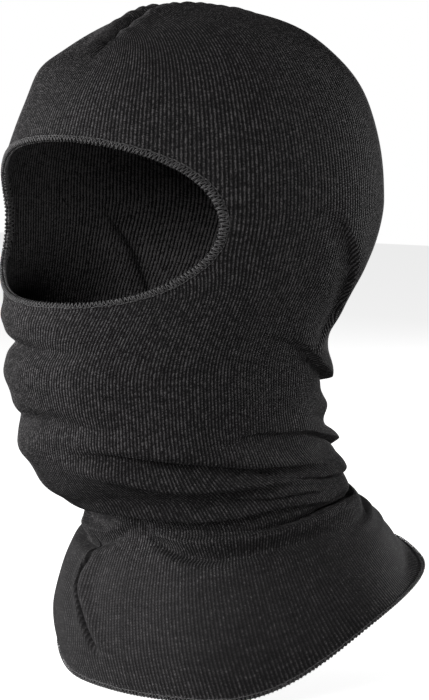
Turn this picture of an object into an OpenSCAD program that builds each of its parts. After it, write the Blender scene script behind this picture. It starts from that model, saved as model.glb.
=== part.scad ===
// Balaclava: a one-hole knitted hood with a long neck and a flared bib.
// One seamless tube of rib knit is closed over the crown by a front-to-back
// overlocked seam; the face opening and the hem are finished with overlock
// stitching.  Every thread of that stitching is a part of its own.
// Frame: +Z up, the face looks along -Y, the wearer's left is +X.
// Origin: centre of the head at the headband line, just above the opening.

/* [Head] */
// breadth of the hood over the ears
head_breadth = 154; // [140:1:170]
// length of the hood from forehead to the back of the head
head_length = 198; // [184:1:212]
// height of the crown above the widest level of the head
crown_rise = 91; // [82:1:98]
// level of the widest part of the head, below the headband line
widest_drop = 29; // [24:1:34]
// share of the head length that the crown seam takes
seam_share = 0.61; // [0.5:0.01:0.7]
// squareness of the sections, 2 is an ellipse
fullness = 2.16; // [2:0.02:2.5]

/* [Face opening] */
// angle from the middle of the opening to its corner
opening_angle = 55; // [46:1:58]
// how far the opening sits turned towards the wearer's left
opening_turn = 0; // [0:0.5:4]
// top of the opening above the headband line
opening_top = -2; // [-8:1:0]
// height of the opening
opening_height = 70; // [58:1:74]
// roundness of the brow edge, 2 is an ellipse
brow_round = 2; // [1.8:0.1:2.6]
// roundness of the cheek edge, 2 is an ellipse
cheek_round = 2.3; // [1.8:0.1:2.8]

/* [Jaw and neck] */
// breadth of the hood over the jaw
jaw_breadth = 132; // [124:1:140]
// breadth of the bunched neck
neck_breadth = 119; // [112:1:128]
// level of the chin below the headband line
chin_drop = 152; // [146:1:158]
// level of the nape below the headband line
nape_drop = 108; // [102:1:114]
// how far the neck folds stand out
fold_height = 2.4; // [0:0.2:3.4]

/* [Bib] */
// breadth of the bib at the hem
bib_breadth = 180; // [166:1:196]
// level of the hem in front, below the headband line
hem_front_drop = 259; // [244:1:270]
// level of the hem at the back, below the headband line
hem_back_drop = 198; // [190:1:208]
// how much higher the hem lies over the shoulders
shoulder_lift = 6; // [0:1:12]
// how far the hem dips beside the chest and rises over the shoulders
hem_wave = 6; // [0:0.5:8]

/* [Fabric and stitching] */
// thickness of the rib knit
fabric_t = 1.5; // [1.2:0.1:1.8]
// height of the crown seam allowance inside the hood
allowance = 5; // [4:0.5:6]
// width of the overlock band along each edge
stitch_w = 3.2; // [2.4:0.2:3.8]
// thickness of the sewing thread
thread_d = 0.6; // [0.4:0.1:0.8]
// gap between thread and fabric
thread_gap = 0.4; // [0.3:0.05:0.6]

/* [Hidden] */

knit_colour = [0.13, 0.13, 0.14];
thread_colour = [0.24, 0.24, 0.25];

columns = 72;              // facets round the tube
half = columns / 2;
pole = 140;                // run of fabric from the crown seam to the widest level

// Sections of the hood from the widest level down to the hem:
// [front y, front z, back y, back z, half breadth, lift at the sides, wave]
hl = head_length / 2;
hb = head_breadth / 2;
jb = jaw_breadth / 2;
nb = neck_breadth / 2;
bb = bib_breadth / 2;
cd = chin_drop;
nd = nape_drop;
hf = hem_front_drop;
hr = hem_back_drop;
sections = [
  [-hl, -widest_drop, hl, -widest_drop, hb, 0, 0],
  [-hl - 1, -60, hl - 14, -58, hb * 0.96, 0, 0],
  [-hl - 2, -80, hl - 30, -77, hb * 0.91, 0, 0],
  [-hl - 2, -102, hl - 41, nd * -0.88, jb, 0, 0],
  [-hl + 1, cd * -0.5 - 48, hl - 42, -nd, jb * 0.97, 0, 0],
  [-hl + 5, -cd + 11, hl - 41, -nd - 10, jb * 0.93, 0, 0],
  [-hl + 10, -cd, hl - 40, -nd - 19, jb * 0.92, 0, 0],
  [-hl + 20, -cd - 7, hl - 38, -nd - 26, nb, 0, 0],
  [-hl + 36, -cd - 14, hl - 34, -nd - 33, nb - 0.5, 0, 0],
  [-hl + 51, -cd - 22, hl - 32, -nd - 40, nb + 1, 0, 0],
  [-hl + 56, -cd - 31, hl - 29, -nd - 48, nb + 4, 0, 0],
  [-hl + 51, -cd - 44, hl - 22, -nd - 58, bb * 0.78, 0, 0],
  [-hl + 46, -hf + 45, hl - 12, -hr + 20, bb * 0.88, 0, 0],
  [-hl + 46, -hf + 22, hl - 1, -hr + 9, bb * 0.965, shoulder_lift * 0.4,
   hem_wave * 0.5],
  [-hl + 53, -hf, hl + 8, -hr, bb, shoulder_lift, hem_wave]];
last = len(sections) - 1;

// run of fabric, from the widest level, at which each section lies
runs = [0, 31, 52, 74, 92, 107, 119, 130, 142, 153, 163, 178, 197, 218, 238];
hem = runs[last];

// folds of the bunched neck: [run in front, run at the back, width, share of height]
folds = [[112, 104, 5, 0.5], [130, 121, 6, 1], [151, 143, 5.5, 0.9],
  [166, 162, 5, 1], [84, 78, 7, 0.35]];

// opening, as runs of fabric
open_up = widest_drop + opening_top;
open_s0 = -open_up;
open_s1 = opening_height - open_up;
open_mid = 8;              // level of its corners
open_m = 11;               // columns from its middle to its corner

// rows of the fabric grid, from the crown seam down to the hem
function steps(a, b, n) = [for (i = [1:n]) a + (b - a) * i / n];
crown_rows = 8;
open_rows = 10;
rows = concat([-pole], steps(-pole, open_s0, crown_rows),
  steps(open_s0, open_mid, open_rows / 2), steps(open_mid, open_s1, open_rows / 2),
  steps(open_s1, 112, 7), steps(112, 178, 12), steps(178, hem, 6));
nrows = len(rows);
row0 = crown_rows;         // rows at the brow edge and the cheek edge
row1 = crown_rows + open_rows;

// Catmull-Rom through the sections
function at(i) = sections[max(0, min(last, i))];
function through(a, b, c, d, u) =
  b + u * (0.5 * (c - a) + u * (a - 2.5 * b + 2 * c - 0.5 * d
    + u * (1.5 * b - 1.5 * c + 0.5 * d - 0.5 * a)));
above = [at(1)[0], 60 - 2 * widest_drop, at(1)[2], 58 - 2 * widest_drop, at(1)[4], 0, 0];
function section(s) =
  let (v = lookup(s, [for (i = [0:last]) [runs[i], i]]),
       i = min(last - 1, floor(v)), u = v - i)
  through(i == 0 ? above : at(i - 1), at(i), at(i + 1), at(i + 2), u);

function bump(x) = exp(-x * x);
function fold_out(t, s) =
  let (w = (1 + cos(t)) / 2)
  fold_height * (1 + 0.12 * sin(3 * t)) * s_sum([for (f = folds)
    f[3] * bump((s - f[0] * w - f[1] * (1 - w)) / f[2])]);
function s_sum(v) = v * [for (x = v) 1];

// rounded plan of a section: direction t, 0 in front, 90 at the wearer's left
function plan(t) =
  let (c = cos(t), s = sin(t),
       q = pow(pow(abs(c), fullness) + pow(abs(s), fullness), -1 / fullness))
  [s * q, c * q];

// crown above the widest level; a is 0 at the seam and 90 at the widest level
function crown(t, a) =
  let (p = fullness, k = plan(t), x = sin(a),
       y = pow(pow(x, p) + pow(seam_share, p) * pow(max(cos(a), 0), 3), 1 / p),
       r = pow(abs(k[0] * x), p) + pow(abs(k[1] * y), p))
  [hb * k[0] * x, -hl * k[1] * y,
   -widest_drop + crown_rise * pow(max(0, 1 - min(1, r)), 1 / p)];

// the hem dips 38 degrees from the front and rises 90 degrees from it
function wave(t) =
  let (d = abs(t > 180 ? t - 360 : t))
  cos(360 / 104 * (d - 38)) * bump((d - 62) / 45);

function body(t, s) =
  let (g = section(s), k = plan(t), w = (1 + k[1]) / 2, f = fold_out(t, s),
       r = 1 + f / 70)
  [g[4] * k[0] * r,
   (g[2] + g[0]) / 2 + (g[0] - g[2]) / 2 * k[1] * r,
   g[3] + (g[1] - g[3]) * w + g[5] * k[0] * k[0] - g[6] * wave(t)];

// outer face of the fabric at direction t and run s
function skin(t, s) = s < 0 ? crown(t, 90 * (1 + s / pole)) : body(t, s);

function unit(v) = v / norm(v);
function out(t, s) =
  let (e = 0.5, a = max(-pole + 2, min(hem - 1, s)))
  unit(cross(skin(t + e, a) - skin(t - e, a), skin(t, a + e) - skin(t, a - e)) * -1);
function lifted(t, s, h) = skin(t, s) + h * out(t, s);

// the grid gives way round the opening so that its edge lies on a rounded oval
function open_round(p, q, m) =
  let (n = q < 0 ? brow_round : cheek_round)
  m / pow(pow(abs(p), n) + pow(abs(q), n), 1 / n);
function ease(x) = let (u = max(0, min(1, x))) 1 - u * u * (3 - 2 * u);
function column(jj) = abs(jj) <= open_m ? opening_angle * jj / open_m
  : sign(jj) * (opening_angle
    + (180 - opening_angle) * (abs(jj) - open_m) / (half - open_m));
function turned(jj, s) =
  opening_turn * (1 - abs(jj) / half) * max(0, min(1, (s + pole) / 60));
function grid(j, s) =
  let (jj = j > half ? j - columns : j, t = column(jj), p = t / opening_angle,
       d = s - open_mid, q = d / (d < 0 ? open_mid - open_s0 : open_s1 - open_mid),
       m = max(abs(p), abs(q)),
       f = m < 0.001 ? 1 : 1 + (open_round(p, q, m) - 1) * ease((m - 1) / 0.9))
  [t * f + turned(jj, s), open_mid + d * f];

// --- fabric ---------------------------------------------------------------

function ring(i, h) = [for (j = [0:columns - 1])
  let (g = grid(j, rows[i])) h == 0 ? skin(g[0], g[1]) : lifted(g[0], g[1], h)];
function seam_line(drop, x) = [for (j = [0:columns - 1])
  let (t = 360 * j / columns, c = crown(t, 0))
  [x * max(-1, min(1, 6 * sin(t))), c[1] * (1 + 0.015 * x), c[2] - drop]];
function zip(r) = [for (j = [0:half]) [0, r[j][1], r[j][2]]];

module knit_tube() {
  fin = 1.3;
  outer0 = zip(seam_line(0, 0));
  outer = [for (i = [1:nrows - 1]) ring(i, 0)];
  inner0 = zip(seam_line(fabric_t + allowance, 0));
  fin_a = seam_line(fabric_t + allowance, fin);
  fin_b = seam_line(fabric_t + 0.6, fin);
  inner = concat([fin_a, fin_b], [for (i = [1:nrows - 1]) ring(i, -fabric_t)]);
  no = len(outer);
  ni = len(inner);
  base = half + 1 + no * columns;
  function z(j) = j <= half ? j : columns - j;
  function o(i, j) = i == 0 ? z(j % columns) : half + 1 + (i - 1) * columns + j % columns;
  function n(i, j) = base + (i == 0 ? z(j % columns)
    : half + 1 + (i - 1) * columns + j % columns);
  // is the cell under row i and right of column j inside the opening?
  function hole(i, j) = i >= row0 && i < row1 && (j < open_m || j >= columns - open_m);
  function quad(a, b, c, d) = [for (f = [[a, b, c], [a, c, d]])
    if (f[0] != f[1] && f[1] != f[2] && f[0] != f[2]) f];
  function all(l) = [for (a = l) for (b = a) b];
  outer_faces = all([for (i = [0:no - 1]) for (j = [0:columns - 1])
    if (!hole(i, j)) quad(o(i, j), o(i, j + 1), o(i + 1, j + 1), o(i + 1, j))]);
  inner_faces = all([for (i = [0:ni - 1]) for (j = [0:columns - 1])
    if (!hole(i - 2, j)) quad(n(i, j), n(i + 1, j), n(i + 1, j + 1), n(i, j + 1))]);
  hem_faces = all([for (j = [0:columns - 1])
    quad(o(no, j), o(no, j + 1), n(ni, j + 1), n(ni, j))]);
  a = columns - open_m;
  brow = all([for (k = [0:2 * open_m - 1]) let (j = a + k)
    quad(o(row0, j), o(row0, j + 1), n(row0 + 2, j + 1), n(row0 + 2, j))]);
  cheek = all([for (k = [0:2 * open_m - 1]) let (j = a + k)
    quad(o(row1, j + 1), o(row1, j), n(row1 + 2, j), n(row1 + 2, j + 1))]);
  sides = all([for (i = [row0:row1 - 1]) concat(
    quad(o(i + 1, a), o(i, a), n(i + 2, a), n(i + 3, a)),
    quad(o(i, open_m), o(i + 1, open_m), n(i + 3, open_m), n(i + 2, open_m)))]);
  color(knit_colour)
    polyhedron(
      points = concat(outer0, all(outer), inner0, all(inner)),
      faces = concat(outer_faces, inner_faces, hem_faces, brow, cheek, sides),
      convexity = 10);
}

// --- stitching ------------------------------------------------------------

// closed or open strip swept through rings of four corners
module strip(r, closed) {
  n = len(r);
  m = closed ? n : n - 1;
  color(thread_colour)
    polyhedron(
      points = [for (a = r) for (b = a) b],
      faces = concat(
        [for (i = [0:m - 1]) for (k = [0:3]) let (i2 = (i + 1) % n, k2 = (k + 1) % 4)
          [i * 4 + k, i2 * 4 + k, i2 * 4 + k2]],
        [for (i = [0:m - 1]) for (k = [0:3]) let (i2 = (i + 1) % n, k2 = (k + 1) % 4)
          [i * 4 + k, i2 * 4 + k2, i * 4 + k2]],
        closed ? [] : [[0, 1, 2], [0, 2, 3],
          [n * 4 - 2, n * 4 - 3, n * 4 - 4], [n * 4 - 1, n * 4 - 2, n * 4 - 4]]),
      convexity = 10);
}

// edge of the face opening, g outwards from the edge in mm, at angle a round it
function face_edge(a, g, h) =
  let (c = cos(a), s = sin(a), n = s < 0 ? brow_round : cheek_round,
       q = pow(pow(abs(c), n) + pow(abs(s), n), -1 / n),
       ht = s < 0 ? open_mid - open_s0 : open_s1 - open_mid,
       t = (opening_angle + g / 1.35) * c * q)
  lifted(t + opening_turn * (1 - abs(t) / opening_angle * open_m / half),
    open_mid + (ht + g) * s * q, h);
module face_band(g0, g1, h0, h1)
  strip([for (i = [0:79]) let (a = 360 * i / 80)
    [face_edge(a, g0, h0), face_edge(a, g1, h0), face_edge(a, g1, h1),
     face_edge(a, g0, h1)]], true);

module hem_band(g0, g1, h0, h1)
  strip([for (i = [0:columns - 1]) let (t = column(i > half ? i - columns : i))
    [lifted(t, hem - g0, h0), lifted(t, hem - g1, h0), lifted(t, hem - g1, h1),
     lifted(t, hem - g0, h1)]], true);

// band beside the seam allowance: x0..x1 from the middle, z0..z1 above its free edge
module seam_band(x0, x1, z0, z1)
  strip([for (i = [1:23]) let (c = crown(i * 7.5, 0), f = c[2] - fabric_t - allowance)
    [[x0, c[1], f + z0], [x0, c[1], f + z1], [x1, c[1], f + z1], [x1, c[1], f + z0]]],
    false);

top = thread_gap;
under = -fabric_t - thread_gap;
beside = 1.3 + thread_gap;

module face_edge_needle_thread()
  face_band(stitch_w + 0.6, stitch_w + 0.6 + thread_d, top, top + thread_d);
module face_edge_upper_looper_thread() face_band(0, stitch_w, top, top + thread_d);
module face_edge_lower_looper_thread() face_band(0, stitch_w, under - thread_d, under);
module hem_needle_thread()
  hem_band(stitch_w + 0.6, stitch_w + 0.6 + thread_d, top, top + thread_d);
module hem_upper_looper_thread() hem_band(0.1, stitch_w, top, top + thread_d);
module hem_lower_looper_thread() hem_band(0.1, stitch_w, under - thread_d, under);
module crown_seam_needle_thread()
  seam_band(beside, beside + thread_d, allowance - 1.3, allowance - 1.3 + thread_d);
module crown_seam_upper_looper_thread()
  seam_band(beside, beside + thread_d, 0.2, allowance - 1.8);
module crown_seam_lower_looper_thread()
  seam_band(-beside - thread_d, -beside, 0.2, allowance - 1.8);

knit_tube();
crown_seam_needle_thread();
crown_seam_upper_looper_thread();
crown_seam_lower_looper_thread();
face_edge_needle_thread();
face_edge_upper_looper_thread();
face_edge_lower_looper_thread();
hem_needle_thread();
hem_upper_looper_thread();
hem_lower_looper_thread();
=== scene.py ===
import math

import bpy
import numpy as np
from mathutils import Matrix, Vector


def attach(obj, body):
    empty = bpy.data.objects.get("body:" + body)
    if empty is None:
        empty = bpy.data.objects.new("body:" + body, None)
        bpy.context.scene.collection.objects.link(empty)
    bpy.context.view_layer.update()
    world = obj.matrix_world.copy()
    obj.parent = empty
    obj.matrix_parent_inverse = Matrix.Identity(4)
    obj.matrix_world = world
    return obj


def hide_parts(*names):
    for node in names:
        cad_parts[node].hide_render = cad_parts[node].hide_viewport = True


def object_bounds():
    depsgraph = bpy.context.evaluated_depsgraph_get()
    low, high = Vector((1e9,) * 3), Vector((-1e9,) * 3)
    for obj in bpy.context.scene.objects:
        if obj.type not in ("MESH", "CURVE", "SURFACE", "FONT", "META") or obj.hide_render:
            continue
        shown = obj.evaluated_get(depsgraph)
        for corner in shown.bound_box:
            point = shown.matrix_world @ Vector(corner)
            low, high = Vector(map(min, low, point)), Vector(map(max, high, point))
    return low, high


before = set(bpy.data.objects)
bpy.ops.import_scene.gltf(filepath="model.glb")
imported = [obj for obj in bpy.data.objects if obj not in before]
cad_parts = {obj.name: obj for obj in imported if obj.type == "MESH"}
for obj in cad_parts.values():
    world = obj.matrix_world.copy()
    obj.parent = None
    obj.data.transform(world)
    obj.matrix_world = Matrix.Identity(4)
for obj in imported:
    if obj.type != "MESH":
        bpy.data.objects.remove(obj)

CAD_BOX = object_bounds()
MM = 0.001

# ---------------------------------------------------------------- measures, mm
HEAD_BREADTH, HEAD_LENGTH = 154.0, 198.0
CROWN_RISE, WIDEST_DROP = 91.0, 29.0
SEAM_SHARE, FULLNESS = 0.61, 2.16
JAW_BREADTH, NECK_BREADTH, BIB_BREADTH = 132.0, 119.0, 180.0
CHIN_DROP, NAPE_DROP = 152.0, 108.0
HEM_FRONT, HEM_BACK, SHOULDER_LIFT, HEM_WAVE = 259.0, 198.0, 6.0, 6.0
OPEN_ANGLE, OPEN_TOP, OPEN_HEIGHT = 55.0, -2.0, 70.0
OPEN_MID, BROW_ROUND, CHEEK_ROUND = 8.0, 2.0, 2.3
FABRIC = 1.5
ALLOWANCE, FIN = 5.0, 1.3
POLE, HEM = 140.0, 238.0           # run from the widest level up to the seam, down to the hem
MM_PER_DEG = 1.35                  # across one degree of direction beside the opening
THREAD = 0.27                      # thread radius
HEM_THREAD = THREAD * 0.9
OPENING_PITCH, HEM_PITCH, SEAM_PITCH = 1.9, 2.1, 2.3

RIBS = 280                 # wales round the tube
PER_RIB = 4
RIB_HIGH = 0.26            # ridge height over the groove, half of it each way
COURSE = 1.2               # length of one stitch along a wale


# ------------------------------------------------------------- base surface
def sections():
    hl, hb, jb = HEAD_LENGTH / 2, HEAD_BREADTH / 2, JAW_BREADTH / 2
    nb, bb, cd, nd = NECK_BREADTH / 2, BIB_BREADTH / 2, CHIN_DROP, NAPE_DROP
    hf, hr = HEM_FRONT, HEM_BACK
    # front y, front z, back y, back z, half breadth, lift at the sides, wave
    rows = [
        (-hl, -WIDEST_DROP, hl, -WIDEST_DROP, hb, 0, 0),
        (-hl - 1, -60, hl - 14, -58, hb * 0.96, 0, 0),
        (-hl - 2, -80, hl - 30, -77, hb * 0.91, 0, 0),
        (-hl - 2, -102, hl - 41, nd * -0.88, jb, 0, 0),
        (-hl + 1, cd * -0.5 - 48, hl - 42, -nd, jb * 0.97, 0, 0),
        (-hl + 5, -cd + 11, hl - 41, -nd - 10, jb * 0.93, 0, 0),
        (-hl + 10, -cd, hl - 40, -nd - 19, jb * 0.92, 0, 0),
        (-hl + 20, -cd - 7, hl - 38, -nd - 26, nb, 0, 0),
        (-hl + 36, -cd - 14, hl - 34, -nd - 33, nb - 0.5, 0, 0),
        (-hl + 51, -cd - 22, hl - 32, -nd - 40, nb + 1, 0, 0),
        (-hl + 56, -cd - 31, hl - 29, -nd - 48, nb + 4, 0, 0),
        (-hl + 51, -cd - 44, hl - 22, -nd - 58, bb * 0.78, 0, 0),
        (-hl + 46, -hf + 45, hl - 12, -hr + 20, bb * 0.88, 0, 0),
        (-hl + 46, -hf + 22, hl - 1, -hr + 9, bb * 0.965, SHOULDER_LIFT * 0.4,
         HEM_WAVE * 0.5),
        (-hl + 53, -hf, hl + 8, -hr, bb, SHOULDER_LIFT, HEM_WAVE),
    ]
    above = (rows[1][0], 60 - 2 * WIDEST_DROP, rows[1][2], 58 - 2 * WIDEST_DROP,
             rows[1][4], 0, 0)
    return np.array([above] + rows + [rows[-1]], float)


RUNS = np.array([0, 31, 52, 74, 92, 107, 119, 130, 142, 153, 163, 178, 197, 218, 238.0])
SECTIONS = sections()


def section(s):
    v = np.interp(s, RUNS, np.arange(len(RUNS)))
    i = np.minimum(len(RUNS) - 2, np.floor(v)).astype(int)
    u = (v - i)[..., None]
    a, b, c, d = (SECTIONS[i + k] for k in range(4))
    return b + u * (0.5 * (c - a) + u * (a - 2.5 * b + 2 * c - 0.5 * d
                    + u * (1.5 * b - 1.5 * c + 0.5 * d - 0.5 * a)))


def plan(t):
    c, s = np.cos(t), np.sin(t)
    q = (np.abs(c) ** FULLNESS + np.abs(s) ** FULLNESS) ** (-1 / FULLNESS)
    return s * q, c * q


def base(deg, s):
    """The smooth form at direction deg (0 in front, 90 at the wearer's left), run s."""
    t, s = np.broadcast_arrays(np.radians(deg), np.asarray(s, float))
    k0, k1 = plan(t)
    p = FULLNESS
    a = np.radians(90 * (1 + np.minimum(s, 0) / POLE))
    x = np.sin(a)
    y = (x ** p + SEAM_SHARE ** p * np.maximum(np.cos(a), 0) ** 3) ** (1 / p)
    r = np.abs(k0 * x) ** p + np.abs(k1 * y) ** p
    crown = np.stack([HEAD_BREADTH / 2 * k0 * x, -HEAD_LENGTH / 2 * k1 * y,
                      -WIDEST_DROP + CROWN_RISE * np.maximum(0, 1 - np.minimum(1, r))
                      ** (1 / p)], -1)
    g = section(np.maximum(s, 0))
    w = (1 + k1) / 2
    d = np.abs((np.degrees(t) + 180) % 360 - 180)
    wave = np.cos(np.radians(360 / 104 * (d - 38))) * np.exp(-((d - 62) / 45) ** 2)
    body = np.stack([g[..., 4] * k0,
                     (g[..., 2] + g[..., 0]) / 2 + (g[..., 0] - g[..., 2]) / 2 * k1,
                     g[..., 3] + (g[..., 1] - g[..., 3]) * w + g[..., 5] * k0 * k0
                     - g[..., 6] * wave], -1)
    return np.where((s < 0)[..., None], crown, body)


def unit(v):
    return v / np.maximum(np.linalg.norm(v, axis=-1, keepdims=True), 1e-9)


def base_normal(deg, s):
    e = 0.6
    s = np.clip(s, -POLE + 3, HEM - 1)
    across = base(deg + e, s) - base(deg - e, s)
    along = base(deg, s + e) - base(deg, s - e)
    return unit(np.cross(along, across))


# --------------------------------------------------------------------- folds
def path(points, t):
    """Smooth curve through (t, value, height) points; height is 0 past both ends."""
    p = np.array(sorted(points), float)
    x = p[:, 0]
    slope = np.gradient(p[:, 1:], x, axis=0)
    tt = np.clip(t, x[0], x[-1])
    i = np.clip(np.searchsorted(x, tt, side="right") - 1, 0, len(x) - 2)
    h = x[i + 1] - x[i]
    u = (tt - x[i]) / h
    out = []
    for k in (1, 2):
        a, b = p[i, k], p[i + 1, k]
        m, n = slope[i, k - 1] * h, slope[i + 1, k - 1] * h
        out.append(a * (1 + 2 * u) * (1 - u) ** 2 + b * u * u * (3 - 2 * u)
                   + m * u * (1 - u) ** 2 + n * u * u * (u - 1))
    run, high = out
    outside = (t < x[0]) | (t > x[-1])
    return run, np.where(outside, 0, np.maximum(high, 0))


def both(points, share=0.9, shift=1.5, start=0):
    """The same fold on the other side too, a little different, from start degrees on."""
    far = [(-(start + t * (1 - start / 180)), v + shift, h * share)
           for t, v, h in points if t > 0]
    return list(points) + far


def bump(x):
    return np.exp(-x * x)


def smooth(x):
    x = np.clip(x, 0, 1)
    return x * x * (3 - 2 * x)


def rolled(t, s, points, up, drop, hollow, back):
    """A roll that hangs over the fabric below it: (height outwards, share of droop)."""
    run, high = path(points, t)
    d = s - run
    rise = bump(np.minimum(d, 0) / up)
    fall = 1 - smooth(d / drop)
    late = 1 - smooth((d - 0.45 * drop) / (1.6 * drop))
    dip = hollow * smooth(d / drop) * bump(np.maximum(d, 0) / back)
    return high * (rise * fall - dip), high * bump(np.minimum(d, 0) / (0.6 * up)) * late


def ridge(t, s, points, width):
    run, high = path(points, t)
    return high * bump((s - run) / width)


# rolls of the bunched neck: points (direction, run, height), then the lengths of
# the rise, the drop, the hollow's share and the way back, and the droop
ROLLS = [
    # nape, highest
    (both([(74, 57, 0), (90, 62, 0.6), (100, 66, 1.8), (108, 72, 3.2), (118, 81, 4.4),
           (134, 92, 5.0), (155, 97, 5.0), (180, 98, 4.8)], 0.85, -2), 11, 3.2, 0.3, 5, 0.3),
    # nape, lower lip
    (both([(50, 103, 0), (68, 105, 0.8), (84, 107, 1.4), (95, 111, 2.2), (110, 117, 3.0),
           (124, 129, 3.8), (136, 141, 5.0), (155, 146, 4.6), (180, 146, 4.4)], 0.9, 2),
     8, 2.6, 0.5, 4, 0.35),
    # jaw fabric that hangs over the hollow under it
    (both([(2, 104, 0), (20, 104, 1.4), (39, 107, 3.6), (50, 110, 4.6), (61, 114, 4.8),
           (72, 120, 4.2), (84, 128, 3.0), (96, 137, 1.4), (110, 145, 0)], 0.6, 1, 50),
     10, 2.2, 0.4, 4, 0.5),
    # edge of the jaw's hollow, running out behind the ear
    (both([(40, 113, 0), (63, 122, 0.8), (73, 130, 1.8), (82, 138, 2.4), (94, 146, 2.6),
           (112, 154, 3.0), (133, 159, 3.2), (155, 161, 2.6), (180, 161, 2.4)], 0.9, -1),
     5, 1.6, 0.5, 3.5, 0.5),
    # thin folds below the jaw ridge
    ([(-75, 150, 0), (-50, 143, 1.4), (-17, 138, 2.4), (-2, 138, 3.4), (9, 139, 4.2),
      (20, 142, 4.6), (37, 147, 4.8), (48, 149, 4.6), (60, 151, 4.4), (76, 156, 3.6),
      (93, 162, 2.2), (108, 167, 0)], 4.5, 1.6, 0.7, 3, 0.5),
    ([(46, 138, 0), (60, 143, 2.4), (70, 147, 3.4), (81, 151, 3.0), (95, 157, 0)],
     3.5, 1.4, 0.7, 2.5, 0.4),
]
# hollows (negative) and ridges (positive) that run round the hood
RINGS = [
    # hollow under the jaw
    (both([(2, 107, 0), (20, 108, 3.0), (39, 112, 9.0), (50, 115, 12.4), (61, 120, 13.0),
           (72, 127, 11.0), (84, 135, 6.0), (96, 143, 3.0), (110, 150, 0)], 0.6, 1, 50), 4.6, -1),
    # ridge below it
    (both([(-6, 110, 0), (8, 112, 2.0), (18, 114, 3.2), (30, 118, 4.4), (39, 122, 5.2),
           (51, 128, 5.6), (67, 136, 4.8), (84, 144, 2.8), (100, 151, 0)], 0.6, 1, 50), 4.6, 1),
    # crisp crease over the broad roll
    (both([(33, 162, 0), (41, 163, 1.6), (53, 164, 3.2), (64, 164.5, 4.2), (80, 165, 4.8),
           (94, 165, 4.8), (106, 167, 4.6), (123, 171, 4.2), (145, 173, 3.4),
           (180, 173, 2.8)], 0.8, 1), 1.5, -1),
    # broad roll
    (both([(0, 158, 0), (10, 161, 2.2), (23, 166, 3.6), (38, 168, 4.2), (61, 169, 4.2),
           (80, 170, 3.6), (95, 170.5, 2.8), (118, 175, 1.6), (135, 178, 0.8),
           (180, 178, 0.8)], 0.8, 1), 3.8, 1),
    # hollow under the broad roll
    (both([(2, 160, 0), (10, 166, 2.0), (18, 170, 4.0), (30, 173.5, 6.4), (45, 175, 6.0),
           (56, 175, 5.2), (70, 176, 3.8), (85, 178, 2.2), (105, 182, 1.6),
           (130, 184, 2.4), (180, 184, 2.0)], 0.85, 1), 3.2, -1),
    # throat, where the chin's fabric meets the bib
    ([(-85, 164, 0), (-60, 158, 2.6), (-45, 154, 3.8), (-34, 151, 4.4), (-20, 150, 4.6),
      (-8, 151, 4.4), (2, 156, 3.2), (9, 162, 0)], 2.8, -1),
    # chin's underside
    ([(-70, 134, 0), (-40, 131, 2.6), (-20, 130, 3.6), (-4, 131, 3.0), (14, 133, 0)], 7, 1),
    # soft swell under the face opening and creases over the mouth
    ([(-80, 52, 0), (-45, 53, 1.6), (-20, 53, 1.8), (0, 54, 1.4), (20, 54, 0.6),
      (36, 55, 0)], 5, 1),
    ([(-80, 63, 0), (-45, 66, 4.2), (-28, 66, 4.4), (-10, 66, 3.4), (6, 66, 2.2),
      (19, 66, 1.0), (36, 69, 0)], 3.4, -1),
    ([(-80, 79, 0), (-45, 79, 2.4), (-20, 79, 1.8), (0, 79, 1.0), (26, 79, 0)], 5.5, 1),
    ([(-60, 94, 0), (-38, 97, 3.4), (-20, 95, 3.8), (-8, 94, 3.4), (13, 95, 2.6),
      (29, 97, 1.4), (46, 100, 0)], 3.8, -1),
    ([(-75, 110, 0), (-50, 110, 2.4), (-34, 109, 2.6), (-15, 107, 1.6), (6, 106, 0)], 6, 1),
    # fabric between the nape's rolls stands out again
    (both([(96, 106, 0), (116, 109, 1.4), (136, 114, 3.2), (155, 119, 2.4),
           (180, 119, 2.2)], 0.9, 1), 7, 1),
    # soft swells where the neck runs out into the bib
    (both([(96, 186, 0), (112, 187, 0.9), (125, 187, 1.6), (150, 188, 1.4),
           (180, 188, 1.2)], 0.8, 2), 3.4, 1),
    (both([(90, 195, 0), (112, 196, 0.8), (126, 196, 1.2), (150, 197, 1.0),
           (180, 197, 0.8)], 0.8, 2), 4.2, 1),
]
# broad pushes: direction, run, spread in degrees and mm, out
PUSHES = [
    (-40, -64, 20, 13, 2.8), (-50, 8, 12, 24, 4.2), (-50, -122, 26, 12, -1.2),
    (128, -62, 40, 34, 2.4), (126, 27, 22, 14, 1.4), (131, 80, 24, 11, 1.6),
    (-55, 168, 14, 7, -3.0), (-46, 228, 24, 16, 2.0), (-128, -62, 40, 34, 1.4),
    (140, 174, 20, 12, -2.2), (135, 226, 20, 12, -2.2),
]
# pinch in the front of the bib: (run, direction, depth)
PINCH = [(168, -27, 0), (175, -26, 1.8), (182, -25.5, 4.4), (190, -27, 7.0),
         (197, -26, 7.4), (206, -21, 5.6), (213, -17.5, 3.4), (219, -14, 1.4),
         (224, -11, 0)]
# tension line behind the ear, from the back of the head to the nape
TENSION = [(2, 96, 0), (9, 99, 1.0), (15, 103, 2.2), (22, 108, 2.8), (31, 112.5, 3.0),
           (41, 117, 3.0), (50, 121, 3.0), (58, 121, 2.8), (65, 115.5, 2.0),
           (72, 108, 0.8), (78, 104, 0)]


def pinch(t, s):
    """Depth of the pinch at a place's run, and how far off its line the place is."""
    where, deep = path(PINCH, s)
    return deep, t - where


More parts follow.
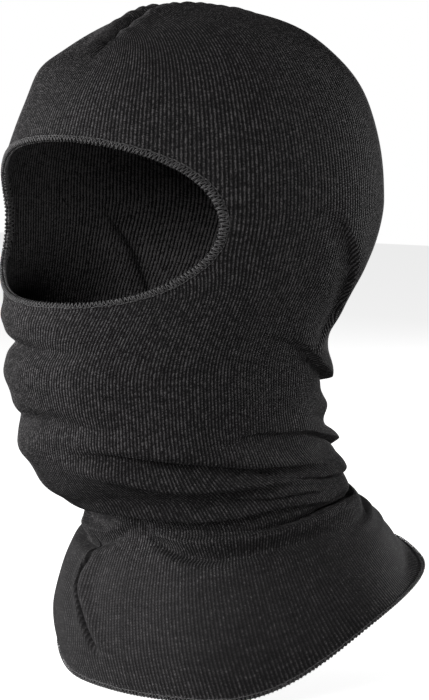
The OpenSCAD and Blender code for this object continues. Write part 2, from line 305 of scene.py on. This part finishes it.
def relief(t, s, p):
    """Height of the folds along the normal, and their droop, at base points p."""
    high, droop = np.zeros_like(t), np.zeros_like(t)
    for points, up, drop, hollow, back, sag in ROLLS:
        a, b = rolled(t, s, points, up, drop, hollow, back)
        high += a
        droop += sag * b
    for points, width, sign in RINGS:
        high += sign * ridge(t, s, points, width)
    # vertical pinch and its raised shoulder
    deep, d = pinch(t, s)
    high -= 1.9 * deep * bump(d / 1.5) + 0.3 * deep * bump((d + 6) / 6)
    high += 0.4 * deep * (bump((d - 5) / 4) + 0.6 * bump((d + 4) / 3))
    # tension lines, left and right
    for side, share in ((1, 1.0), (-1, 0.8)):
        where, tall = path(TENSION, s)
        d = (t * side - where) * MM_PER_DEG
        high += share * tall * (0.85 * smooth((d + 2) / 4.5) * bump(np.maximum(d, 0) / 17)
                                - 0.3 * bump((d + 6) / 7))
    # crown seam: a groove between two puffed edges, deepest at its front end
    x, y = np.abs(p[..., 0]), p[..., 1]
    top = smooth((-s - 70) / 40)
    front = bump((y + 50) / 17)
    high -= top * (1.1 + 4.4 * front) * bump(x / (1.6 + 1.2 * front))
    high += top * (0.7 + 2.4 * bump((y + 36) / 20)) * bump((x - 7) / 5)
    high += top * 0.45 * np.sin(y * 0.75 + 0.8 * np.sin(y * 0.21)) * bump((x - 3) / 7)
    # hem stands out behind the shoulders
    high += 4.6 * bump((np.abs(t) - 124) / 14) * smooth((s - 224) / 14)
    for t0, s0, wide, tall, push in PUSHES:
        away = (t - t0 + 180) % 360 - 180
        high += push * bump(away / wide) * bump((s - s0) / tall)
    # overlocked edges are bunched into a low bead beside the needle's line
    half = OPEN_ANGLE * MM_PER_DEG
    x, y = open_x(t) * OPEN_ANGLE * MM_PER_DEG, s - OPEN_MID
    up = y < 0
    tall, n = np.where(up, OPEN_UP, OPEN_DOWN), np.where(up, BROW_ROUND, CHEEK_ROUND)
    a, b = np.abs(x) / half, np.abs(y) / tall
    rho = np.maximum((a ** n + b ** n) ** (1 / n), 1e-3)
    slope = np.hypot((a / rho) ** (n - 1) / half, (b / rho) ** (n - 1) / tall)
    for g in ((rho - 1) / np.maximum(slope, 1e-6), HEM - s):
        high += 0.45 * bump((g - 1.5) / 1.5) - 0.4 * bump((g - 3.9) / 0.6)
    high += 1.6 * np.sin(np.radians(5 * t + 40)) * smooth((s - 190) / 48) \
        * smooth((np.abs(t) - 20) / 40)
    # no cloth lies quite smooth
    a, b = np.radians(t), s / 34.0
    high += 0.35 * (np.sin(5 * a + 2.1 * b) * np.sin(1.7 * b - 2 * a + 1)
                    + 0.7 * np.sin(9 * a - 3.3 * b + 2) * np.sin(2.6 * b + 3 * a))
    return high, droop


def cloth(deg, s):
    """Point and normal of the folded fabric's outer face, without its ribs."""
    deg, s = np.broadcast_arrays(np.asarray(deg, float), np.asarray(s, float))
    wrapped = (deg + 180) % 360 - 180
    p, n = base(deg, s), base_normal(deg, s)
    high, droop = relief(wrapped, s, p)
    q = p + n * high[..., None]
    q[..., 2] -= droop
    return q, n


# ------------------------------------------------------------- face opening
def open_x(deg):
    """Share of the way from the middle of the opening to its corner."""
    return ((np.asarray(deg, float) + 180) % 360 - 180) / OPEN_ANGLE


OPEN_UP = OPEN_MID + WIDEST_DROP + OPEN_TOP            # corner to brow, along the run
OPEN_DOWN = OPEN_HEIGHT - (WIDEST_DROP + OPEN_TOP) - OPEN_MID


def brow(deg):
    x = np.minimum(1, np.abs(open_x(deg)))
    return OPEN_MID - OPEN_UP * (1 - x ** BROW_ROUND) ** (1 / BROW_ROUND)


def cheek(deg):
    x = np.minimum(1, np.abs(open_x(deg)))
    return OPEN_MID + OPEN_DOWN * (1 - x ** CHEEK_ROUND) ** (1 / CHEEK_ROUND)


def lean(deg, s):
    """The wales below the opening are dragged towards the wearer's left."""
    d = (np.asarray(deg, float) + 180) % 360 - 180
    pull = smooth((s - 16) / 24) * (1 - smooth((s - 36) / 46))
    return 10.5 * bump((d - 6) / 40) * pull


# -------------------------------------------------------------- knit tube mesh
def mesh_object(name, verts, quads, tris, attributes=()):
    """Mesh in metres from arrays in mm; attributes are (name, values) per vertex."""
    m = bpy.data.meshes.new(name)
    nq, nt = len(quads), len(tris)
    m.vertices.add(len(verts))
    m.vertices.foreach_set("co", (np.asarray(verts, float) * MM).astype(np.float32).ravel())
    m.loops.add(nq * 4 + nt * 3)
    index = np.concatenate([np.asarray(quads).ravel(), np.asarray(tris).ravel()])
    m.loops.foreach_set("vertex_index", index.astype(np.int32))
    m.polygons.add(nq + nt)
    start = np.concatenate([np.arange(nq) * 4, nq * 4 + np.arange(nt) * 3])
    m.polygons.foreach_set("loop_start", start.astype(np.int32))
    m.update(calc_edges=True)
    m.polygons.foreach_set("use_smooth", np.ones(nq + nt, bool))
    for key, values in attributes:
        a = m.attributes.new(key, "FLOAT_VECTOR", "POINT")
        a.data.foreach_set("vector", np.asarray(values, np.float32).ravel())
    m.validate()
    o = bpy.data.objects.new(name, m)
    bpy.context.collection.objects.link(o)
    return o


def row_runs():
    coarse, fine = ((0.9, 0.5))
    def span(a, b, step):
        return list(np.linspace(a, b, max(2, round((b - a) / step)) + 1)[:-1])
    upper = span(-POLE, -112, 0.8) + span(-112, OPEN_MID, coarse)
    lower = span(OPEN_MID, 60, coarse) + span(60, 104, coarse * 0.8) \
        + span(104, 182, fine) + span(182, HEM, coarse)
    return np.array(upper + [OPEN_MID]), np.array(lower + [HEM])


def fabric_points(cols, rows, upper, high, offset):
    """Grid of points (rows by cols) above or below the opening, ribs included."""
    if upper:
        edge = brow(cols)
        ramp = smooth((rows + 105) / (OPEN_MID + 105))[:, None]
    else:
        edge = cheek(cols)
        for _ in range(40):      # the edge is an oval where the wales lean, too
            edge = 0.5 * edge + 0.5 * cheek(cols + lean(cols, edge))
        ramp = (1 - smooth((rows - OPEN_MID) / 95))[:, None]
    s = rows[:, None] + (edge[None, :] - OPEN_MID) * ramp
    t = cols[None, :] + 0 * s
    t = t + lean(t, s)
    p, n = cloth(t, s)
    # true normal of the folded face, for ribs and for the inner face
    du = np.roll(p, -1, 1) - np.roll(p, 1, 1)
    dv = np.gradient(p, axis=0)
    if upper:
        dv[0] = p[1] - p[0]
    true = unit(np.cross(dv, du))
    true = np.where((np.sum(true * n, -1) < 0)[..., None], -true, true)
    blend = 0.35 if offset else 0.15
    n = unit(n * blend + true * (1 - blend))
    u = cols / 360 * RIBS
    rib = np.cos(2 * np.pi * u)[None, :]
    # ribs flatten beside the crown seam, in the pinch and where the bib is stretched
    deep, away = pinch((t + 180) % 360 - 180, s)
    flat = (1 - 0.8 * np.minimum(1, deep / 4) * bump(away / 3)) \
        * (1 - 0.55 * smooth((s - 165) / 30))
    lift = high * rib * (0.25 + 0.75 * smooth((s + POLE) / 9)) * flat
    q = p + n * (lift - offset)[..., None]
    # third part: how strongly the ribs show, least where the fabric is stretched
    show = (1.0 - 0.25 * bump((s - 140) / 30)) * (0.3 + 0.7 * flat) \
        * (1 - 0.45 * smooth((s - 165) / 20) * (1 - smooth((s - 218) / 16)))
    # the inner face's third part is raised past 1, which marks it for the painted light inside
    # the hood
    show = show + (0.3 if offset else 0)
    knit = np.stack([u[None, :] + 0 * s, (s + POLE) / COURSE, show], -1)
    return q, knit


def build_tube():
    n_out = RIBS * PER_RIB
    n_in = RIBS * 2
    k = n_out // n_in
    upper, lower = row_runs()
    step = 2
    up_in = np.concatenate([upper[4:-1:step], upper[-1:]])
    low_in = np.concatenate([lower[:-1:step], lower[-1:]])
    verts, knits, quads, tris = [], [], [], []
    count = 0

    def add(points, knit):
        nonlocal count
        ids = count + np.arange(points.reshape(-1, 3).shape[0]).reshape(points.shape[:-1])
        verts.append(points.reshape(-1, 3))
        knits.append(knit.reshape(-1, 3))
        count += ids.size
        return ids

    def face(ids, outward):
        a, b = ids[:-1], ids[1:]
        q = np.stack([a, np.roll(a, -1, 1), np.roll(b, -1, 1), b], -1).reshape(-1, 4)
        quads.append(q[:, ::-1] if outward else q)

    def side(n, high, offset, rows_up, rows_low, outward):
        """One face of the fabric: returns the ids of its rows at brow, cheek and hem."""
        cols = np.arange(n) * 360.0 / n
        pu, ku = fabric_points(cols, rows_up, True, high, offset)
        pl, kl = fabric_points(cols, rows_low, False, high, offset)
        inside = np.abs(open_x(cols)) < 1
        if outward:      # the seam closes the tube: both halves share its points
            first = np.arange(n)
            mirror = (n - first) % n
            half = first <= n // 2
            pu[0, :, 0] = 0
            pu[0, :, 1:] = 0.5 * (pu[0, :, 1:] + pu[0, mirror, 1:])
        iu = add(pu, ku)
        if outward:
            iu[0] = np.where(half, iu[0], iu[0][mirror])
        il = add(pl, kl)
        il[0] = np.where(inside, il[0], iu[-1])
        face(iu, outward)
        face(il, outward)
        return iu, il, inside, ku

    ou, ol, _, _ = side(n_out, RIB_HIGH / 2, 0.0, upper, lower, True)
    iu, il, inside_in, kin = side(n_in, 0.13, FABRIC, up_in, low_in, False)

    # seam allowance: a fin that hangs from the seam inside the crown
    cols = np.arange(n_in) * 360.0 / n_in
    ridge_line, _ = cloth(cols, np.full(n_in, -POLE))
    sx = np.clip(6 * np.sin(np.radians(cols)), -1, 1)
    def fin(x, drop):
        return np.stack([x * sx, ridge_line[:, 1] * (1 + 0.015 * x),
                         base(cols, -POLE)[:, 2] - drop], -1)[None]
    low = add(fin(0.0, FABRIC + ALLOWANCE), kin[:1])
    mirror = (n_in - np.arange(n_in)) % n_in
    low[0] = np.where(np.arange(n_in) <= n_in // 2, low[0], low[0][mirror])
    a = add(fin(FIN, FABRIC + ALLOWANCE), kin[:1])
    b = add(fin(FIN, FABRIC + 1.0), kin[:1])
    face(np.concatenate([low, a, b, iu[:1]]), False)

    def bridge(out_row, in_row, keep, flip):
        """Closes the fabric's edge between an outer row and the coarser inner row."""
        for j in np.nonzero(keep)[0]:
            i0, i1 = in_row[j], in_row[(j + 1) % n_in]
            o = [out_row[(j * k + m) % n_out] for m in range(k + 1)]
            part = [(i0, o[m], o[m + 1]) for m in range(k // 2)]
            part += [(i0, o[k // 2], i1)]
            part += [(i1, o[m], o[m + 1]) for m in range(k // 2, k)]
            tris.extend((c, b, a) if flip else (a, b, c) for a, b, c in part)

    touching = inside_in | np.roll(inside_in, -1)
    bridge(ou[-1], iu[-1], touching, False)
    bridge(ol[0], il[0], touching, True)
    bridge(ol[-1], il[-1], np.ones(n_in, bool), False)
    verts = np.concatenate(verts)
    quads = np.concatenate(quads)
    # drop the cells that have shrunk to a line at the seam and the corners
    bad = (quads[:, 0] == quads[:, 1]) & (quads[:, 2] == quads[:, 3])
    return verts, np.concatenate(knits), quads[~bad], np.array(tris)


verts, knits, quads, tris = build_tube()
tube = mesh_object("balaclava_knit", verts, quads, tris, [("knit", knits)])


# ------------------------------------------------------------------- stitching
def thread(name, points, ups, radius, sides=6, closed=True):
    """Thread through points (mm), its section turned by the up vectors."""
    p, up = np.asarray(points, float), np.asarray(ups, float)
    if closed:
        tangent = unit(np.roll(p, -1, 0) - np.roll(p, 1, 0))
    else:
        tangent = unit(np.gradient(p, axis=0))
    across = unit(np.cross(tangent, up))
    up = np.cross(across, tangent)
    ang = np.arange(sides) * 2 * np.pi / sides
    ring = p[:, None] + radius * (np.cos(ang)[None, :, None] * across[:, None]
                                  + np.sin(ang)[None, :, None] * up[:, None])
    n = len(p)
    ids = np.arange(n * sides).reshape(n, sides)
    nxt = np.roll(ids, -1, 0) if closed else ids[1:]
    a = ids if closed else ids[:-1]
    quads = np.stack([a, nxt, np.roll(nxt, -1, 1), np.roll(a, -1, 1)], -1).reshape(-1, 4)
    tris = [] if closed else \
        [(ids[0, 0], ids[0, m], ids[0, m + 1]) for m in range(1, sides - 1)] + \
        [(ids[-1, 0], ids[-1, m + 1], ids[-1, m]) for m in range(1, sides - 1)]
    length = np.concatenate([[0], np.cumsum(np.linalg.norm(np.diff(p, axis=0), axis=1))])
    lay = np.stack([np.broadcast_to(length[:, None], (n, sides)),
                    np.broadcast_to(ang[None] / (2 * np.pi), (n, sides)),
                    np.zeros((n, sides))], -1)
    return mesh_object(name, ring.reshape(-1, 3), quads,
                       np.array(tris, int).reshape(-1, 3), [("lay", lay)])


class Edge:
    """A finished edge: places along it by length, g mm in from it, h mm above."""

    def __init__(self, place, count):
        self.place = place
        a = np.linspace(0, 1, count + 1)
        p, _ = place(a, 0.0)
        self.length = np.concatenate([[0], np.cumsum(np.linalg.norm(np.diff(p, axis=0),
                                                                    axis=1))])
        self.share = a

    def at(self, run, g, h):
        a = np.interp(run % self.length[-1], self.length, self.share)
        p, n = self.place(a, g)
        return p + n * np.asarray(h)[..., None], n


def opening_place(a, g):
    ang = 2 * np.pi * a
    c, s = np.cos(ang), np.sin(ang)
    n = np.where(s < 0, BROW_ROUND, CHEEK_ROUND)
    q = (np.abs(c) ** n + np.abs(s) ** n) ** (-1 / n)
    high = np.where(s < 0, OPEN_UP, OPEN_DOWN)
    return cloth((OPEN_ANGLE + g / MM_PER_DEG) * c * q, OPEN_MID + (high + g) * s * q)


def hem_place(a, g):
    t = 360 * a
    p, n = cloth(t, HEM - np.maximum(g, 0))
    end, _ = cloth(t, np.full_like(t, HEM))
    before, _ = cloth(t, np.full_like(t, HEM - 2))
    return p + unit(end - before) * np.maximum(-np.asarray(g), 0)[..., None], n


def wobble(k, seed):
    return np.sin(k * 12.9898 + seed * 78.233) * 43758.5453 % 1.0


def sew(name, edge, pitch, knots, radius, seed, width):
    """Repeats one stitch, given as (share of pitch, g, h) knots, along an edge.

    width gives the share of the band's full width at each place.
    """
    total = edge.length[-1]
    n = round(total / pitch)
    pitch = total / n
    k = np.repeat(np.arange(n), len(knots))
    f, g, h = (np.tile([q[i] for q in knots], n) for i in range(3))
    loose = 0.5 - wobble(k, seed)
    run = (k + f) * pitch + 0.22 * pitch * loose
    share = width(np.interp(run % total, edge.length, edge.share))
    g = np.where(g > 0, g * share, g) + 0.5 * (0.5 - wobble(k, seed + 3)) * (g > 0.5)
    p, up = edge.at(run, g, h)
    return thread(name, p, up, radius, 6)


def opening_width(a):
    """The band is drawn narrow over the brow and lies broad at the corners."""
    return 0.55 + 0.45 * np.abs(np.cos(2 * np.pi * a)) ** 1.5


def hem_width(a):
    """The hem's band is equally wide all round."""
    return 0.8 + 0 * a


face = Edge(opening_place, 720)
hem = Edge(hem_place, 720)
IN = -FABRIC
needle = [(0.0, 3.4, -0.2), (0.12, 3.4, 0.1), (0.45, 3.45, 0.22), (0.8, 3.4, 0.14),
          (0.95, 3.4, -0.2)]
over = [(0.0, 3.3, 0.3), (0.16, 2.3, 0.62), (0.32, 1.0, 0.64), (0.44, 0.05, 0.42),
        (0.5, -0.35, -0.5), (0.56, 0.05, 0.42), (0.68, 1.0, 0.62), (0.84, 2.3, 0.6)]
under = [(0.5, 3.2, IN - 0.3), (0.66, 2.2, IN - 0.55), (0.82, 0.9, IN - 0.5),
         (0.94, 0.0, IN - 0.2), (1.0, -0.4, -0.7), (1.06, 0.0, IN - 0.2),
         (1.18, 0.9, IN - 0.5), (1.34, 2.2, IN - 0.55)]
stitches = {
    "face_edge_needle_thread": sew("face_edge_needle", face, OPENING_PITCH, needle, THREAD, 1,
                                   opening_width),
    "face_edge_upper_looper_thread": sew("face_edge_upper_looper", face, OPENING_PITCH, over,
                                         THREAD, 2, opening_width),
    "face_edge_lower_looper_thread": sew("face_edge_lower_looper", face, OPENING_PITCH, under,
                                         THREAD, 3, opening_width),
    "hem_needle_thread": sew("hem_needle", hem, HEM_PITCH, needle, HEM_THREAD, 4, hem_width),
    "hem_upper_looper_thread": sew("hem_upper_looper", hem, HEM_PITCH, over, HEM_THREAD, 5,
                                   hem_width),
    "hem_lower_looper_thread": sew("hem_lower_looper", hem, HEM_PITCH, under, HEM_THREAD, 6,
                                   hem_width),
}


def fin_thread(name, knots, sign):
    """Thread along the seam allowance inside the crown; knots (share, x, z) per stitch."""
    deg = np.linspace(8, 172, 400)
    ridge_line = base(deg, np.full_like(deg, -POLE))
    length = np.concatenate([[0], np.cumsum(np.linalg.norm(np.diff(ridge_line, axis=0),
                                                           axis=1))])
    n = int(length[-1] / SEAM_PITCH)
    run = np.concatenate([(k + np.array([q[0] for q in knots])) * SEAM_PITCH
                          for k in range(n)])
    d = np.interp(run, length, deg)
    c = base(d, np.full_like(d, -POLE))
    p = np.stack([sign * np.tile([q[1] for q in knots], n), c[:, 1],
                  c[:, 2] - FABRIC - ALLOWANCE + np.tile([q[2] for q in knots], n)], -1)
    up = np.tile([[float(sign), 0.0, 0.0]], (len(p), 1))
    return thread(name, p, up, THREAD, 6, closed=False)


out = FIN + 0.3
seam_needle = [(0, out - 0.4, 3.6), (0.15, out + 0.1, 3.6), (0.75, out + 0.15, 3.6),
               (0.9, out - 0.4, 3.6)]
seam_looper = [(0, out, 3.2), (0.3, out + 0.25, 1.2), (0.5, 0.3, -0.35),
               (0.7, out + 0.25, 1.2)]
for kind, knots, sign in (("needle", seam_needle, 1), ("upper_looper", seam_looper, 1),
                          ("lower_looper", seam_looper, -1)):
    stitches[f"crown_seam_{kind}_thread"] = fin_thread(f"crown_seam_{kind}", knots, sign)


# ------------------------------------------------------------------- materials
class Nodes:
    def __init__(self, name):
        self.mat = bpy.data.materials.new(name)
        self.mat.use_nodes = True
        self.tree = self.mat.node_tree
        self.shader = self.tree.nodes["Principled BSDF"]

    def new(self, kind, **values):
        n = self.tree.nodes.new(kind)
        for key, value in values.items():
            setattr(n, key, value)
        return n

    def link(self, a, b):
        self.tree.links.new(a, b)

    def math(self, op, a, b=None, clamp=False):
        n = self.new("ShaderNodeMath", operation=op, use_clamp=clamp)
        for socket, value in zip(n.inputs, (a, b)):
            if value is None:
                continue
            if isinstance(value, (int, float)):
                socket.default_value = value
            else:
                self.link(value, socket)
        return n.outputs[0]


def knit_material():
    k = Nodes("fine_rib_knit")
    at = k.new("ShaderNodeAttribute", attribute_name="knit")
    part = k.new("ShaderNodeSeparateXYZ")
    k.link(at.outputs["Vector"], part.inputs[0])
    u, v = part.outputs["X"], part.outputs["Y"]
    # ridge of each wale, and stitches along it that step from wale to wale
    wale = k.math("ROUND", u)
    across = k.math("SUBTRACT", u, wale)
    crest = k.math("COSINE", k.math("MULTIPLY", across, 2 * math.pi))
    crest01 = k.math("ADD", k.math("MULTIPLY", crest, 0.5), 0.5)
    shift = k.math("MULTIPLY", k.math("MODULO", wale, 3.0), 0.37)
    along = k.math("ADD", v, shift)
    loop = k.math("COSINE", k.math("MULTIPLY", along, 2 * math.pi))
    loop01 = k.math("ADD", k.math("MULTIPLY", loop, 0.5), 0.5)
    # every stitch catches the light a little differently
    cell = k.new("ShaderNodeCombineXYZ")
    k.link(wale, cell.inputs[0])
    k.link(k.math("ROUND", along), cell.inputs[1])
    noise = k.new("ShaderNodeTexWhiteNoise", noise_dimensions="2D")
    k.link(cell.outputs[0], noise.inputs["Vector"])
    chance = noise.outputs["Value"]
    # slubs along the yarn and broad shade changes
    stretch = k.new("ShaderNodeVectorMath", operation="MULTIPLY")
    k.link(at.outputs["Vector"], stretch.inputs[0])
    stretch.inputs[1].default_value = (2.3, 0.75, 1.0)
    slub = k.new("ShaderNodeTexNoise")
    slub.inputs["Scale"].default_value = 1.0
    slub.inputs["Detail"].default_value = 3.0
    k.link(stretch.outputs[0], slub.inputs["Vector"])
    coord = k.new("ShaderNodeTexCoord")
    fuzz = k.new("ShaderNodeTexNoise")
    fuzz.inputs["Scale"].default_value = 1900.0
    fuzz.inputs["Detail"].default_value = 2.0
    k.link(coord.outputs["Object"], fuzz.inputs["Vector"])
    show = part.outputs["Z"]
    # painted shade and highlight: each wale's groove is painted dark and its crest light, and
    # every stitch loop along the wale gets a lighter painted highlight
    body = k.math("ADD", k.math("MULTIPLY", k.math("POWER", crest01, 1.6), 1.2), 0.14)
    loop_highlight = k.math("ADD", k.math("MULTIPLY", loop01, 0.3), 0.82)
    tone = k.math("ADD", k.math("MULTIPLY", k.math("POWER", chance, 2.0), 0.9), 0.68)
    light = k.math("MULTIPLY", k.math("MULTIPLY", body, loop_highlight), tone)
    light = k.math("MULTIPLY", light, k.math("ADD", k.math(
        "MULTIPLY", k.math("SUBTRACT", slub.outputs[0], 0.5), 2.4), 1.0))
    light = k.math("MULTIPLY", light, k.math("ADD", k.math(
        "MULTIPLY", k.math("SUBTRACT", fuzz.outputs[0], 0.5), 5.4), 1.0))
    streaks = k.new("ShaderNodeVectorMath", operation="MULTIPLY")
    k.link(at.outputs["Vector"], streaks.inputs[0])
    streaks.inputs[1].default_value = (0.16, 0.8, 1.0)
    course = k.new("ShaderNodeTexNoise")
    course.inputs["Scale"].default_value = 1.0
    course.inputs["Detail"].default_value = 2.0
    k.link(streaks.outputs[0], course.inputs["Vector"])
    mean = 0.56
    light = k.math("ADD", k.math("MULTIPLY", k.math("SUBTRACT", light, mean), show), mean)
    light = k.math("MULTIPLY", light, k.math("ADD", k.math(
        "MULTIPLY", k.math("SUBTRACT", course.outputs[0], 0.5), 0.9), 1.0))
    ramp = k.new("ShaderNodeValToRGB")
    ramp.color_ramp.elements[0].color = (0.0030, 0.0028, 0.0031, 1)
    ramp.color_ramp.elements[1].color = (0.110, 0.105, 0.107, 1)
    e = ramp.color_ramp.elements.new(0.32)
    e.color = (0.028, 0.0267, 0.0276, 1)
    # painted light: the face inside the hood is painted lighter, standing in for the light that
    # reaches in through the opening
    inner = k.math("MULTIPLY", k.math("SUBTRACT", show, 1.05), 8.0, clamp=True)
    painted_light_gain = k.math("ADD", k.math("MULTIPLY", inner, 0.62), 0.5)
    k.link(k.math("MULTIPLY", light, painted_light_gain, clamp=True), ramp.inputs[0])
    s = k.shader
    k.link(ramp.outputs[0], s.inputs["Base Color"])
    rough = k.math("SUBTRACT", 0.93, k.math("MULTIPLY", loop01, 0.14))
    k.link(rough, s.inputs["Roughness"])
    s.inputs["Specular IOR Level"].default_value = 0.15
    s.inputs["Sheen Weight"].default_value = 0.05
    s.inputs["Sheen Roughness"].default_value = 0.45
    s.inputs["Sheen Tint"].default_value = (0.75, 0.74, 0.76, 1)
    height = k.math("ADD", k.math("MULTIPLY", crest01, 0.35),
                    k.math("MULTIPLY", k.math("MULTIPLY", loop01, crest01), 0.5))
    height = k.math("ADD", height, k.math("MULTIPLY", fuzz.outputs[0], 0.25))
    b = k.new("ShaderNodeBump")
    b.inputs["Strength"].default_value = 0.75
    b.inputs["Distance"].default_value = 0.0004
    k.link(height, b.inputs["Height"])
    k.link(b.outputs[0], s.inputs["Normal"])
    return k.mat


def thread_material():
    k = Nodes("sewing_thread")
    at = k.new("ShaderNodeAttribute", attribute_name="lay")
    part = k.new("ShaderNodeSeparateXYZ")
    k.link(at.outputs["Vector"], part.inputs[0])
    twist = k.math("ADD", k.math("MULTIPLY", part.outputs["X"], 1.6), part.outputs["Y"])
    ply = k.math("ADD", k.math("MULTIPLY", k.math("SINE", k.math(
        "MULTIPLY", twist, 4 * math.pi)), 0.5), 0.5)
    noise = k.new("ShaderNodeTexNoise")
    noise.inputs["Scale"].default_value = 700.0
    coord = k.new("ShaderNodeTexCoord")
    k.link(coord.outputs["Object"], noise.inputs["Vector"])
    # painted highlight and shade: the thread is painted lighter on the crests of its twisted
    # plies and darker between them, with random tone from the noise on top
    ramp = k.new("ShaderNodeValToRGB")
    ramp.color_ramp.elements[0].color = (0.012, 0.0115, 0.012, 1)
    ramp.color_ramp.elements[1].color = (0.30, 0.29, 0.295, 1)
    ramp.color_ramp.elements[0].position, ramp.color_ramp.elements[1].position = 0.32, 0.82
    k.link(k.math("ADD", k.math("MULTIPLY", ply, 0.45),
                  k.math("MULTIPLY", noise.outputs[0], 0.45)), ramp.inputs[0])
    s = k.shader
    k.link(ramp.outputs[0], s.inputs["Base Color"])
    k.link(k.math("SUBTRACT", 0.75, k.math("MULTIPLY", ply, 0.2)), s.inputs["Roughness"])
    s.inputs["Sheen Weight"].default_value = 0.15
    s.inputs["Specular IOR Level"].default_value = 0.35
    b = k.new("ShaderNodeBump")
    b.inputs["Strength"].default_value = 0.6
    b.inputs["Distance"].default_value = 0.00012
    k.link(ply, b.inputs["Height"])
    k.link(b.outputs[0], s.inputs["Normal"])
    return k.mat


KNIT, SEWING = knit_material(), thread_material()
tube.data.materials.append(KNIT)
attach(tube, "root")
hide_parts("knit_tube")
for node, piece in stitches.items():
    piece.data.materials.append(SEWING)
    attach(piece, "root")
    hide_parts(node)


# ------------------------------------------------------- stage, light and camera
def plain(name, colour, rough):
    k = Nodes(name)
    n = k.new("ShaderNodeTexNoise")
    n.inputs["Scale"].default_value = 6.0
    r = k.new("ShaderNodeValToRGB")
    r.color_ramp.elements[0].color = (*(c * 0.985 for c in colour), 1)
    r.color_ramp.elements[1].color = (*colour, 1)
    k.link(n.outputs[0], r.inputs[0])
    k.link(r.outputs[0], k.shader.inputs["Base Color"])
    k.shader.inputs["Roughness"].default_value = rough
    return k


floor_z = CAD_BOX[0][2] - 0.0015
bpy.ops.mesh.primitive_plane_add(size=6.0, location=(0, 0, floor_z))
floor = bpy.context.object
floor.name = "studio_floor"
pale = plain("pale_floor", (0.93, 0.93, 0.93), 0.9)
pale.shader.inputs["Emission Color"].default_value = (1, 1, 1, 1)
pale.shader.inputs["Emission Strength"].default_value = 0.8
floor.data.materials.append(pale.mat)
floor.visible_diffuse = floor.visible_glossy = False      # it throws no light back up

CENTRE = np.array([4.7, 6.5, -100.5]) * MM
AZIMUTH, ELEVATION, DISTANCE = 40.8, 5.7, 1.197
VIEW_HIGH = 0.3332         # height of the picture at the object


def toward(azimuth, elevation):
    a, e = math.radians(azimuth), math.radians(elevation)
    return np.array([math.sin(a) * math.cos(e), -math.cos(a) * math.cos(e), math.sin(e)])


def aim(obj, at, place):
    obj.location = place
    obj.rotation_euler = (Vector(at) - Vector(place)).to_track_quat("-Z", "Y").to_euler()


def softbox(name, azimuth, elevation, distance, size, power):
    light = bpy.data.lights.new(name, "AREA")
    light.shape, light.size, light.size_y = "RECTANGLE", size[0], size[1]
    light.energy = power
    obj = bpy.data.objects.new(name, light)
    bpy.context.collection.objects.link(obj)
    aim(obj, CENTRE, CENTRE + toward(azimuth, elevation) * distance)


softbox("key", 10, 17, 1.5, (0.6, 0.4), 11)
softbox("front", 58, -3, 1.6, (0.9, 0.3), 7)
softbox("kick", -58, 5, 1.5, (0.9, 0.66), 30)
softbox("rim", 172, 2, 1.5, (0.9, 0.66), 22)

world = bpy.data.worlds.new("studio")
bpy.context.scene.world = world
world.use_nodes = True
# the backdrop is white to the eye, and dim enough as a light to leave folds dark
tree = world.node_tree
seen, dim, mix = (tree.nodes.new(kind) for kind in (
    "ShaderNodeBackground", "ShaderNodeBackground", "ShaderNodeMixShader"))
ray = tree.nodes.new("ShaderNodeLightPath")
seen.inputs[1].default_value, dim.inputs[1].default_value = 1.0, 0.03
seen.inputs[0].default_value = dim.inputs[0].default_value = (1, 1, 1, 1)
tree.links.new(ray.outputs["Is Camera Ray"], mix.inputs[0])
tree.links.new(dim.outputs[0], mix.inputs[1])
tree.links.new(seen.outputs[0], mix.inputs[2])
tree.links.new(mix.outputs[0], tree.nodes["World Output"].inputs[0])
bpy.context.scene.view_settings.view_transform = "Standard"

cam_data = bpy.data.cameras.new("camera")
cam_data.sensor_fit = "VERTICAL"
cam_data.sensor_height = 24.0
cam_data.lens = 24.0 * DISTANCE / VIEW_HIGH
camera = bpy.data.objects.new("camera", cam_data)
bpy.context.collection.objects.link(camera)
aim(camera, CENTRE, CENTRE + toward(AZIMUTH, ELEVATION) * DISTANCE)
bpy.context.scene.camera = camera
